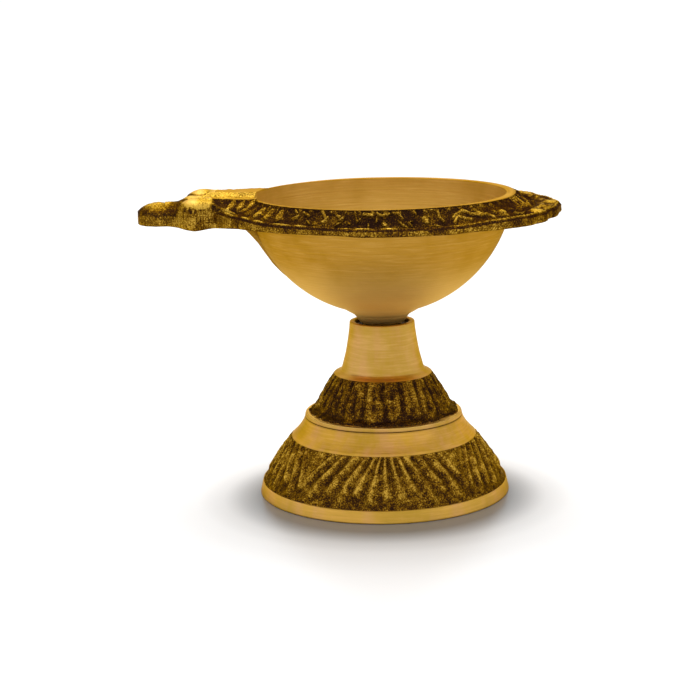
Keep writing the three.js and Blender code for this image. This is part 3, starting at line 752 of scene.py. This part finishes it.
def flange_radius(angle):
    """Outer radius: an oval that swells to the tail, where it is blunt and scalloped, and to the spout."""
    along = np.cos(angle)
    towards_tail = np.clip(np.arcsin(along) / FLANGE_TAIL_SPAN, 0, 1)
    swell = np.sin(np.pi / 2 * towards_tail**FLANGE_TAIL_SHARPNESS) ** 2
    towards_spout = FLANGE_SPOUT_GAIN * np.clip(-along, 0, 1) ** 3
    side = np.degrees(np.abs(angle))
    blunt = 1.25 * smoothstep(side, 4, 18) * (1 - smoothstep(side, 36, 56))
    scallops = SCALLOP_DEPTH * np.cos(np.radians(side) * SCALLOPS) * (1 - smoothstep(side, 30, 40))
    return FLANGE_SIDE_R + (TAIL_TIP_X - 0.35 - FLANGE_SIDE_R) * swell + towards_spout - blunt + scallops


def stroke(u, w, start, end, width):
    """How near (u, w) is to the segment from start to end: 1 on it, falling to 0 at half the width away."""
    du, dw = end[0] - start[0], end[1] - start[1]
    length = max(du * du + dw * dw, 1e-9)
    t = np.clip(((u - start[0]) * du + (w - start[1]) * dw) / length, 0, 1)
    distance = np.hypot(u - start[0] - t * du, w - start[1] - t * dw)
    return 1 - smoothstep(distance, 0.25 * width, 0.75 * width)


def scrolls(side, w, slope_length):
    """The raised strokes, with side in degrees from the tail."""
    along, down = side * MM_PER_DEGREE, w * slope_length
    total = np.zeros_like(along)
    for width, height, *numbers in SCROLLS:
        path = list(zip(numbers[::2], numbers[1::2]))
        for a, b in zip(path, path[1:]):
            ends = []
            for degrees, share in (a, b):
                length = slope_length[np.argmin(np.abs(side[0] - degrees))]
                ends.append((degrees * MM_PER_DEGREE, share * length))
            total = np.maximum(total, height * stroke(along, down, *ends, width))
    return total


def leaf_shape(u, along, width, soft):
    """1 inside an upright leaf and 0 outside. u runs across it, and along from -1 to 1 up it."""
    swell = np.sqrt(np.clip(1 - along**2, 0, 1))
    return (1 - smoothstep(np.abs(u) / (width * swell + 1e-3), soft, 1.05)) * (swell > 0)


def leaves(side, w):
    """Upright leaves with dark arches over them, between thin ribs that reach the lip."""
    u = ((side - LEAF_PHASE) / LEAF_PITCH + 0.22 * (w - 0.35)) % 1.0 - 0.5
    leaf = leaf_shape(u, (w - 0.38) / 0.27, 0.34, 0.55)
    vein = 0.25 * np.exp(-((u / 0.04) ** 2))
    rib = 0.55 * smoothstep(np.abs(u), 0.4, 0.5) * (1 - smoothstep(w, 0.1, 0.3))
    return np.clip(0.66 * leaf - vein * leaf + rib, 0, 1)


def flange_relief(signed, w, slope_length, flat):
    """Height of the pattern from 0 to 1 over the slope, in zones from the spout to the tail."""
    side = np.degrees(np.abs(signed))
    wobble = side + 1.1 * lumps(flat, 3.0)
    in_leaves = smoothstep(side, *LEAVES_FROM)
    pattern = mix(scrolls(wobble, w + 0.05 * lumps(flat + 20, 2.5), slope_length), leaves(side, w), in_leaves)
    to_tail = smoothstep(side, 31, 24)
    veins = (0.5 + 0.5 * np.cos(2 * np.pi * (side - 9 * w**1.4) / 3.6)) ** 2
    veins = 0.8 * veins * (1 - smoothstep(w, 0.42, 0.56)) * smoothstep(side, 1, 4)
    knobs = 0.5 + 0.5 * np.cos(np.radians(side) * SCALLOPS)
    knobs = smoothstep(w, 0.58, 0.72) * (0.55 + 0.45 * knobs)
    pattern = mix(pattern, np.maximum(veins, knobs), to_tail)
    dashes = 0.5 * smoothstep(np.cos(side * 1.15), 0.2, 0.8) * np.exp(-(((w - 0.07) / 0.05) ** 2))
    return np.maximum(pattern, dashes * (1 - in_leaves))


def rim_flange():
    """The flat turned lip, the patterned slope outside it, the raised border and the flange's underside."""
    angles = np.arange(FLANGE_COLUMNS) * 2 * math.pi / FLANGE_COLUMNS
    signed = (angles + math.pi) % (2 * math.pi) - math.pi
    side = np.degrees(np.abs(signed))
    radius = flange_radius(signed)
    crest_z = np.interp(side, *zip(*BORDER_CREST))
    foot_z = crest_z - BORDER_DROP
    sink = 0.42 * smoothstep(side, 55, 66) * (1 - smoothstep(side, 96, 108))
    bottom_z = FLANGE_BOTTOM_Z - sink
    annulus = 0.2 + 1.75 * smoothstep(np.cos(signed - math.radians(40)), -0.25, 0.55)
    notch = 0.5 + 0.5 * np.cos(2 * np.pi * (side - LEAF_PHASE) / LEAF_PITCH)
    annulus = annulus + 0.3 * notch * smoothstep(side, *LEAVES_FROM) * (signed < 0)
    polished_r = FLANGE_INNER_R + annulus

    angle, w = np.meshgrid(signed, np.linspace(0, 1, FLANGE_SLOPE_ROWS))
    outer = radius - BORDER_WIDTH
    r = mix(polished_r, outer, w)
    run = outer - polished_r
    z_start = LIP_Z - 0.16
    z = mix(z_start, foot_z, w) - (0.3 + 0.055 * run) * np.sin(np.pi * w) ** 0.8
    flat = round_axis(r, angle, z)
    fall = z_start - foot_z
    slope_length = np.hypot(run, fall)
    pattern = flange_relief(angle, w, slope_length, flat)
    wander = lumps(flat, 4.0)
    fade = smoothstep(w, 0, 0.05)
    height = (-0.36 + 0.75 * pattern) * fade + 0.09 * rough(flat, 1.2) * fade
    height = height + 0.5 * smoothstep(w, 0.55, 0.75) * smoothstep(side, 34, 22)
    r_top = r + height * (fall / slope_length)
    z_top = z + height * (run / slope_length)
    gold_tail = 0.14 * smoothstep(w, 0.55, 0.7) * smoothstep(side, 34, 22)
    mottled = 0.6 * smoothstep(rough(flat, 1.5, 2), -0.15, 0.4) * smoothstep(side, 36, 24)
    slope_relief = np.clip(0.16 + 0.6 * pattern + 0.15 * wander + gold_tail - mottled, 0, 1)

    rows = []

    def add(*values, aged=1.0):
        """One more row out and down the section, from its radius, height and relief."""
        rows.append([np.broadcast_to(value, FLANGE_COLUMNS) for value in (*values, aged)])

    add(FLANGE_INNER_R, LIP_Z - 0.01, 0.5, aged=0.0)
    add(mix(FLANGE_INNER_R, polished_r, 0.5), LIP_Z - 0.01, 0.5, aged=0.0)
    add(polished_r - 0.04, LIP_Z - 0.05, 0.5, aged=0.0)
    lip_rows = len(rows)
    for values in zip(r_top, z_top, slope_relief):
        add(*values)

    # Painted highlight on the worn crest: bright lens-shaped blades, or beads towards the tail, strong or
    # faint along the border.
    along = side * MM_PER_DEGREE + 0.8 * np.sin(side * 0.31)
    beaded = smoothstep(side, 66, 58)
    blade = np.abs(np.sin(np.pi * along / BLADE_PITCH)) ** 0.9
    beads = 0.5 + 0.5 * np.cos(2 * np.pi * along / BEAD_PITCH)
    wear_and_highlight = mix(blade, 0.55 + 0.45 * beads, beaded) * np.interp(side, *zip(*BORDER_WEAR_AND_HIGHLIGHT))
    sway = 0.3 * np.sin(2 * np.pi * along / BLADE_PITCH) * (1 - beaded)
    for out, up, shine in BORDER_SECTION:
        lift = BORDER_DROP * up * mix(0.7, 1.05, wear_and_highlight)
        shade = np.where(shine > 0.7, 0.12 + 0.85 * wear_and_highlight * shine, shine * wear_and_highlight)
        add(radius - BORDER_WIDTH + out + sway * (1 - out / BORDER_WIDTH), foot_z + lift, shade)
    wall_top = foot_z - 0.2
    dark = smoothstep(lumps(np.stack([along, side * 0, along * 0], -1), 2.2), 0.0, 0.7)
    for t in np.linspace(0, 1, FLANGE_WALL_ROWS):
        lean_in = 0.12 * (1 - t) + 0.22 * max(t - 0.75, 0) / 0.25
        tone = 0.54 - 0.34 * dark * (1 - 0.6 * t) + 0.04 * np.sin(2 * np.pi * along / 0.55)
        add(radius - lean_in, mix(wall_top, bottom_z + 0.2, t), tone)
    add(radius - 0.5, bottom_z + 0.03, 0.4)
    for t in np.linspace(0, 1, FLANGE_UNDER_ROWS):
        add(mix(radius - 1.0, FLANGE_INNER_R + 0.1, t), bottom_z + FLANGE_UNDER_DROP * t, 0.45)
    for t in (0.4, 0.8):
        add(FLANGE_INNER_R - 0.02, mix(bottom_z + FLANGE_UNDER_DROP, LIP_Z - 0.2, t), 0.45)
    r_all, z_all, relief, aged = np.stack(rows, axis=1)
    sunk = smoothstep(math.pi - np.abs(signed), SPOUT_SECTOR, SPOUT_SECTOR - math.radians(4))
    z_all = np.minimum(z_all, mix(LIP_Z, 75.9, sunk))
    grid = round_axis(r_all, signed, z_all)

    # The border and the outer wall are as rough as they were cast.
    row = np.arange(len(grid))[:, None] - lip_rows - FLANGE_SLOPE_ROWS
    cast = (row > 0) & (row <= len(BORDER_SECTION) + FLANGE_WALL_ROWS)
    push = np.where(cast, 0.12 * rough(grid, 1.3) - 0.08, 0.0)
    grid[..., 0] += push * np.cos(signed)
    grid[..., 1] += push * np.sin(signed)
    bowl_piece("rim_flange", grid, closed_rows=True, aged=aged, relief=relief, grime=0.0, run=0.0)


# --- wick spout

SPOUT_ROWS = 190
SPOUT_TOP_COLUMNS = 130
SPOUT_WALL_STEPS = 12
SPOUT_BOTTOM_STEPS = 14
SPOUT_BOTTOM_Z = 72.0
SPOUT_EDGE_Z = 75.6
SPOUT_START_X = -32.62
SPOUT_BURIED_R = 32.72
CHANNEL_END_X = -47.2
SPOUT_TOP_LIMIT_Z = 79.6
SPOUT_BLEND = 4.0
SPOUT_CREST_Z = 79.3
# Each lobe's centre, half sizes, top, foot and roundness.
SIDE_LOBE = ((-46.3, 9.5), (5.6, 5.0), 79.55, 75.2)
TIP_LOBE = ((-57.4, 0), (5.6, 7.7), 77.4, 74.2, 0.6)
CHEEK_END_Y = 8.3
NEAR_CHEEK_Y = 9.6
FAR_CHEEK_Y = 13.0
NEAR_FALL = 0.64
FAR_FALL = 0.9
CLAW_PITCH = 1.25
CHEEK_LEAF_PITCH = 2.5
CHEEK_LEAF_PHASE = 36.4
CHEEK_LEAF_LEAN = 0.75
BULGE_X = 46.5
FLUTE_PITCH = 0.75
# Half width of the spout along its length: x and y.
SPOUT_OUTLINE = (
    (-32.6, 16.9), (-38.0, 14.3), (-42.0, 11.9), (-44.2, 12.7), (-46.8, 14.2), (-49.3, 12.9),
    (-51.6, 9.6), (-54.2, 7.2), (-57.2, 7.4), (-59.8, 6.4), (-61.6, 4.2), (-62.5, 1.6), (-62.7, 0.3),
)


def spout_half_width(x):
    """The outline's half width at x, with its corners smoothed."""
    stations = np.array(SPOUT_OUTLINE)[::-1]
    fine = np.linspace(stations[0, 0], stations[-1, 0], 400)
    width = np.interp(fine, stations[:, 0], stations[:, 1])
    kernel = np.ones(9) / 9
    width = np.convolve(np.pad(width, 4, mode="edge"), kernel, mode="valid")
    return np.interp(x, fine, width)


def dome(x, y, centre, size, top, base, power=0.5):
    """Height of a rounded mound, falling to base at its edge."""
    d = np.hypot((x - centre[0]) / size[0], (y - centre[1]) / size[1])
    return base + (top - base) * np.clip(1 - d**2, 0, 1) ** power


def spout_surface(x, y):
    """The spout's top: a channel between two cheeks, then two side lobes, a bridge and the tip lobe. Returns
    the height, the worn brightness of the casting with painted highlights on the lobes and the edge, and how
    far each point is polished."""
    side = np.abs(y)
    place = np.stack([x, y, 0 * x], axis=-1)
    edge = SPOUT_EDGE_Z - 1.3 * smoothstep(x, -60.2, -62.6)
    near = y < 0
    cheek_y = mix(CHEEK_END_Y, np.where(near, NEAR_CHEEK_Y, FAR_CHEEK_Y), smoothstep(x, -44.5, -32.0))
    crest = SPOUT_CREST_Z - 0.3 * smoothstep(x, -44, -33)
    outer_face = crest - np.clip(side - cheek_y - 0.5, 0, None) * np.where(near, NEAR_FALL, FAR_FALL)
    before = smoothstep(x, -47.0, -44.5)
    top = np.maximum(edge, mix(edge, outer_face, before))
    lobe = dome(x, side, *SIDE_LOBE)
    tip = dome(x, y, *TIP_LOBE)
    spine = 77.5 + 1.5 * smoothstep(x, -53.0, -48.8) - 0.1 * side**1.7
    spine = np.where((x > -55.5) & (x < -43), spine, 70.0)
    stack = np.stack([top, lobe, tip, spine])
    peak = stack.max(axis=0)
    blend = peak + np.log(np.exp(SPOUT_BLEND * (stack - peak)).sum(axis=0)) / SPOUT_BLEND
    top = np.minimum(blend - 0.1, SPOUT_TOP_LIMIT_Z)

    # The channel.
    mouth = np.where(near, NOTCH_NEAR_Y, NOTCH_FAR_Y) + 0.2
    reach = mix(1.5, mouth, smoothstep(x, CHANNEL_END_X - 0.5, CHANNEL_END_X + 7.5))
    deep = CHANNEL_FLOOR_Z + 0.5 * smoothstep(x, -36, CHANNEL_END_X)
    u_shape = deep + 1.25 * np.clip(side / reach, 0, 1.4) ** mix(2.5, 7.0, smoothstep(x, -41, -34))
    inside = 1 - smoothstep(side, reach - 0.1, reach + 0.5)
    inside = inside * smoothstep(x, CHANNEL_END_X - 1.0, CHANNEL_END_X + 0.8)
    top = mix(top, np.minimum(u_shape, top), inside)

    # Wear and painted highlight: bright lobes, bridge and tip, brightest on their tops, and dark hollows
    # between them.
    wear_and_highlight = 0.42 + 0.12 * lumps(place, 3.0)
    wear_and_highlight = mix(wear_and_highlight, 0.95, smoothstep(top, 78.3, 79.3) * (x < -43))
    cross = smoothstep(top, 77.9, 78.6) * (x > -54) * (x < -46)
    wear_and_highlight = np.maximum(wear_and_highlight, 0.9 * cross)
    waist = smoothstep(np.hypot((x + 51.6) / 3.4, (side - 6.4) / 4.0), 1.1, 0.6)
    wear_and_highlight = mix(wear_and_highlight, 0.08, waist)
    tip_top = smoothstep(tip, 76.2, 77.2) * (x < -53)
    wear_and_highlight = mix(wear_and_highlight, 0.85, tip_top)
    tip_foot = smoothstep(tip, 76.3, 75.6) * (x < -53.5)
    wear_and_highlight = mix(wear_and_highlight, 0.22, 0.8 * tip_foot)
    # Painted highlight: each side lobe grows brighter towards its top.
    on_lobe = smoothstep(np.hypot((x + 46.2) / 4.4, (side - 10.2) / 4.2), 1.05, 0.75)
    wear_and_highlight = mix(wear_and_highlight, 0.62 + 0.38 * smoothstep(top, 76.9, 78.2), on_lobe)
    claws = (0.5 + 0.5 * np.cos(2 * np.pi * (x - 0.4 * side) / CLAW_PITCH)) ** 2
    under_lobe = smoothstep(top, 78.0, 77.3) * (side > 10.5) * (x > -49.5) * (x < -40.5)
    wear_and_highlight = mix(wear_and_highlight, 0.06 + 0.6 * claws, under_lobe)
    # Leaves on the cheek's outer face, and a beaded edge outside them with a painted highlight along it.
    below = crest - top
    u = ((x + CHEEK_LEAF_LEAN * below + CHEEK_LEAF_PHASE) / CHEEK_LEAF_PITCH + 0.5) % 1.0 - 0.5
    leaf = leaf_shape(u, (below - 1.5) / 1.2, 0.36, 0.6) * smoothstep(x, -39.4, -38.6)
    leaf_face = smoothstep(x, -42.6, -41.8) * (side > cheek_y + 0.6)
    wear_and_highlight = mix(wear_and_highlight, 0.1 + 0.44 * leaf + 0.1 * lumps(place, 1.0), leaf_face)
    top = top + (0.45 * leaf - 0.2) * leaf_face
    rim = np.exp(-(((spout_half_width(x) - side - 0.75) / 0.4) ** 2)) * smoothstep(x, -43.5, -41.5)
    top = top + (0.75 + 0.2 * np.sin(x * 1.3)) * rim
    wear_and_highlight = mix(wear_and_highlight, 0.95, smoothstep(rim, 0.4, 0.8) * (0.6 + 0.4 * np.sin(x * 1.3 + 1)))
    wear_and_highlight = mix(wear_and_highlight, 0.9 + 0.1 * lumps(place, 1.6), inside)
    polish = (1 - smoothstep(side, cheek_y, cheek_y + 0.4)) * smoothstep(x, -45.0, -42.0) * (1 - inside)
    on_ridge = smoothstep(x, -53.5, -52.0) * smoothstep(x, -45.5, -47.0) * smoothstep(top, 78.0, 78.8)
    polish = np.maximum(polish, 0.6 * on_ridge)
    return top, wear_and_highlight, polish


def inner_arc(y):
    """How far the bowl's round wall stands back at y from its point on the spout's centre line."""
    return -SPOUT_START_X - np.sqrt(np.clip(SPOUT_START_X**2 - y**2, 0, None))


def wick_spout():
    """The trefoil wick spout: top, fluted walls, underside and an inner end that follows the bowl."""
    s = np.linspace(0, 1, SPOUT_ROWS)
    nominal = mix(SPOUT_START_X, SPOUT_TIP_X + 0.25, s)
    half = spout_half_width(nominal)
    t_top = np.linspace(1, -1, SPOUT_TOP_COLUMNS)
    y_top = half[:, None] * t_top[None, :]
    bend = (1 - smoothstep(-nominal, -SPOUT_START_X, 43.0))[:, None]
    x_top = nominal[:, None] + bend * inner_arc(y_top)
    z_top, wear_and_highlight, polish = spout_surface(x_top, y_top)
    flat = np.stack([x_top, y_top, z_top], axis=-1)
    round_edge = 0.7 * (np.clip(np.abs(t_top) - 0.9, 0, None)[None, :] / 0.1) ** 2
    granular = 0.13 * rough(flat, 1.1) * (1 - polish) * (1 - np.abs(t_top)[None, :] ** 8)
    z_top = z_top + granular - round_edge

    wall_t = np.linspace(0, 1, SPOUT_WALL_STEPS + 2)[1:-1]
    grid_columns = [np.stack([x_top, y_top, z_top], axis=-1)]  # top, near wall, underside, far wall
    relief = [np.clip(wear_and_highlight + 0.8 * granular, 0, 1)]
    near_tip = smoothstep(nominal, -52, -55)
    for sign in (-1, 1):
        edge_column = -1 if sign < 0 else 0
        x_edge, z_edge = x_top[:, edge_column], z_top[:, edge_column]
        steps = wall_t if sign < 0 else wall_t[::-1]
        flutes = np.sin(x_edge * 2 * math.pi / FLUTE_PITCH + 1.5 * np.sin(x_edge * 1.7))
        for t in steps:
            z_wall = mix(z_edge, SPOUT_BOTTOM_Z, t)
            fold = 0.07 * flutes * np.sin(np.pi * t) ** 0.5
            y_wall = sign * (half + 0.3 * np.sin(np.pi * t) - 0.25 * max(t - 0.8, 0) / 0.2 + fold)
            grid_columns.append(np.stack([x_edge, y_wall, z_wall], axis=-1)[:, None])
            shade = 0.63 + 0.06 * flutes - 0.14 * near_tip - 0.35 * (1 - smoothstep(t, 0.0, 0.16))
            relief.append(np.clip(shade, 0, 1)[:, None])
        if sign < 0:
            for t in np.linspace(-1, 1, SPOUT_BOTTOM_STEPS):
                y_under = half * t * 0.95
                x_under = nominal + bend[:, 0] * inner_arc(y_under)
                bulge = 0.45 * np.exp(-(((x_under + BULGE_X) / 3.0) ** 2))
                z_under = SPOUT_BOTTOM_Z - 0.05 - bulge
                grid_columns.append(np.stack([x_under, y_under, z_under], axis=-1)[:, None])
                relief.append(np.full((SPOUT_ROWS, 1), 0.5))
    grid = np.concatenate(grid_columns, axis=1)
    relief = np.concatenate(relief, axis=1)
    aged = np.ones(grid.shape[:2])
    aged[:, :SPOUT_TOP_COLUMNS] = 1 - polish
    # The inner end closes along the bowl's wall, out of sight.
    buried = []
    for share in (0.02, 0.25, 0.5, 0.75, 0.95):
        y = grid[0, :, 1] * share
        z = mix(75.0, grid[0, :, 2], share)
        buried.append(np.stack([-np.sqrt(SPOUT_BURIED_R**2 - y**2), y, z], axis=-1))
    grid = np.concatenate([buried, grid])
    relief = np.pad(relief, ((len(buried), 0), (0, 0)), mode="edge")
    aged = np.pad(aged, ((len(buried), 0), (0, 0)), mode="edge")
    bowl_piece("wick_spout", grid, aged=aged, relief=relief, grime=0.0, run=0.0)


# Outer edge of the web under the spout: x and z.
WEB_EDGE = (
    (-38.5, 73.2), (-36.0, 71.6), (-33.7, 69.2), (-31.8, 67.0), (-30.05, 64.4), (-28.1, 61.6),
    (-25.7, 58.8), (-22.9, 56.2), (-19.6, 54.2),
)
WEB_HALF_WIDTH = 5.5
WEB_FRONT_COLUMNS = 17
WEB_BACK_COLUMNS = 9
WEB_BURIED = 1.2


def spout_web():
    """A web that carries the spout down into the bowl's wall."""
    across = np.linspace(-1, 1, WEB_FRONT_COLUMNS)
    rows = []
    for out, z in outline([(-x, z, 0) for x, z in WEB_EDGE], 0.6):
        wall = math.sqrt(BALL_R**2 - (BALL_Z - z) ** 2) - WEB_BURIED
        width = WEB_HALF_WIDTH * smoothstep(z, 52.5, 62.0) + 1.0
        crown = out - 0.9 * np.abs(across) ** 4
        front = [(-max(top, wall), width * y, z) for top, y in zip(crown, across)]
        back = [(-wall + 0.4, y, z) for y in np.linspace(width, -width, WEB_BACK_COLUMNS)]
        rows.append(front + back)
    # A little painted shade darkens the whole web under the spout.
    bowl_piece("spout_web", np.array(rows), aged=0.0, relief=0.5, grime=0.25, run=0.0)


foot_casting()
stem_casting()
bowl_cup()
rim_flange()
wick_spout()
spout_web()

# The CAD pieces that show as they are get a material each.
CAD_LOOKS = {
    "clamp_bolt": zinc_steel,
    "plain_washer": zinc_steel,
    "spring_washer": zinc_steel,
    "seat_washer": oiled_fibre,
    "bowl_stud": pale_brass,
}
for node, material in CAD_LOOKS.items():
    frame["nodes"][node].data.materials.clear()
    frame["nodes"][node].data.materials.append(material)

# --- stage, light and camera

CAMERA_DISTANCE = 457.0
CAMERA_HEIGHT = 135.8
CAMERA_PITCH = math.radians(12.14)
CAMERA_YAW = math.radians(-1.07)
CAMERA_ROLL = math.radians(-1.17)
CAMERA_LENS = 91.6
SENSOR_WIDTH = 36.0
# The floor's grey darkens towards the foot, a painted shadow round the lamp. The painted shadow's spread is
# in metres from its centre, a little in front of the axis.
FLOOR_SIZE = 60.0
FLOOR_SHADOW_CENTRE = (0, -6, 0)
FLOOR_SHADOW_SPREAD = (0.033, 0.433)
FLOOR_SHADOW_GREYS = ((0.0, 0.2), (0.01, 0.42), (0.022, 0.74), (0.04, 0.9), (0.08, 0.95), (1.0, 0.97))
WORLD_STRENGTH = 1.06
OVERHEAD_PLACE = (0, 0.26, 0.6)
OVERHEAD_SIZE = 0.42
OVERHEAD_WATTS = 1.9


def metres(x, y, z):
    """A point in mm about the turned axis, as metres in the frame."""
    return Vector(((x + AXIS_X) * MM, y * MM, z * MM))


def stage_floor():
    """A plain pale floor with a soft painted shadow where the lamp stands."""
    mesh = bpy.data.meshes.new("floor")
    half = FLOOR_SIZE / 2
    corners = [(x * half, y * half, 0) for x, y in ((-1, -1), (1, -1), (1, 1), (-1, 1))]
    mesh.from_pydata(corners, [], [(0, 1, 2, 3)])
    floor = bpy.data.objects.new("floor", mesh)
    bpy.context.scene.collection.objects.link(floor)
    n = Nodes("pale_floor_painted_shadow")
    shadow_spread = n.add("ShaderNodeVectorMath", operation="DISTANCE")
    n.link(n.place(), shadow_spread.inputs[0])
    shadow_spread.inputs[1].default_value = metres(*FLOOR_SHADOW_CENTRE)
    # Painted shadow: darker grey near the lamp's foot, paler further out.
    tone = n.range(shadow_spread.outputs["Value"], *FLOOR_SHADOW_SPREAD)
    n.surface("Base Color", n.ramp(tone, [(at, (grey,) * 3) for at, grey in FLOOR_SHADOW_GREYS]))
    n.surface("Roughness", 0.28)
    n.surface("Specular IOR Level", 0.4)
    mesh.materials.append(n.material)


def studio():
    """A white world and one soft light from above and behind."""
    world = bpy.data.worlds.new("studio")
    world.use_nodes = True
    background = world.node_tree.nodes["Background"]
    background.inputs["Color"].default_value = (1, 1, 1, 1)
    background.inputs["Strength"].default_value = WORLD_STRENGTH
    bpy.context.scene.world = world
    data = bpy.data.lights.new("overhead", "AREA")
    data.shape = "RECTANGLE"
    data.size = data.size_y = OVERHEAD_SIZE
    data.energy = OVERHEAD_WATTS
    light = bpy.data.objects.new("overhead", data)
    light.location = OVERHEAD_PLACE
    light.rotation_euler = (Vector((0, 0, 0)) - light.location).to_track_quat("-Z", "Y").to_euler()
    light.visible_camera = False
    bpy.context.scene.collection.objects.link(light)


def camera():
    """The camera that was fitted to the photograph: level, then pitched, turned and rolled."""
    data = bpy.data.cameras.new("camera")
    data.sensor_width = SENSOR_WIDTH
    data.lens = CAMERA_LENS
    data.clip_start = 0.01
    sine, cosine = math.sin(CAMERA_YAW), math.cos(CAMERA_YAW)
    level_share = math.cos(CAMERA_PITCH)
    forward = Vector((sine * level_share, cosine * level_share, -math.sin(CAMERA_PITCH)))
    level = Vector((cosine, -sine, 0))
    up = level.cross(forward)
    right = level * math.cos(CAMERA_ROLL) + up * math.sin(CAMERA_ROLL)
    above = up * math.cos(CAMERA_ROLL) - level * math.sin(CAMERA_ROLL)
    turn = Matrix((right, above, -forward)).transposed()
    eye = bpy.data.objects.new("camera", data)
    eye.matrix_world = Matrix.Translation(metres(0, -CAMERA_DISTANCE, CAMERA_HEIGHT)) @ turn.to_4x4()
    bpy.context.scene.collection.objects.link(eye)
    bpy.context.scene.camera = eye


stage_floor()
studio()
camera()
bpy.context.scene.view_settings.view_transform = "Standard"
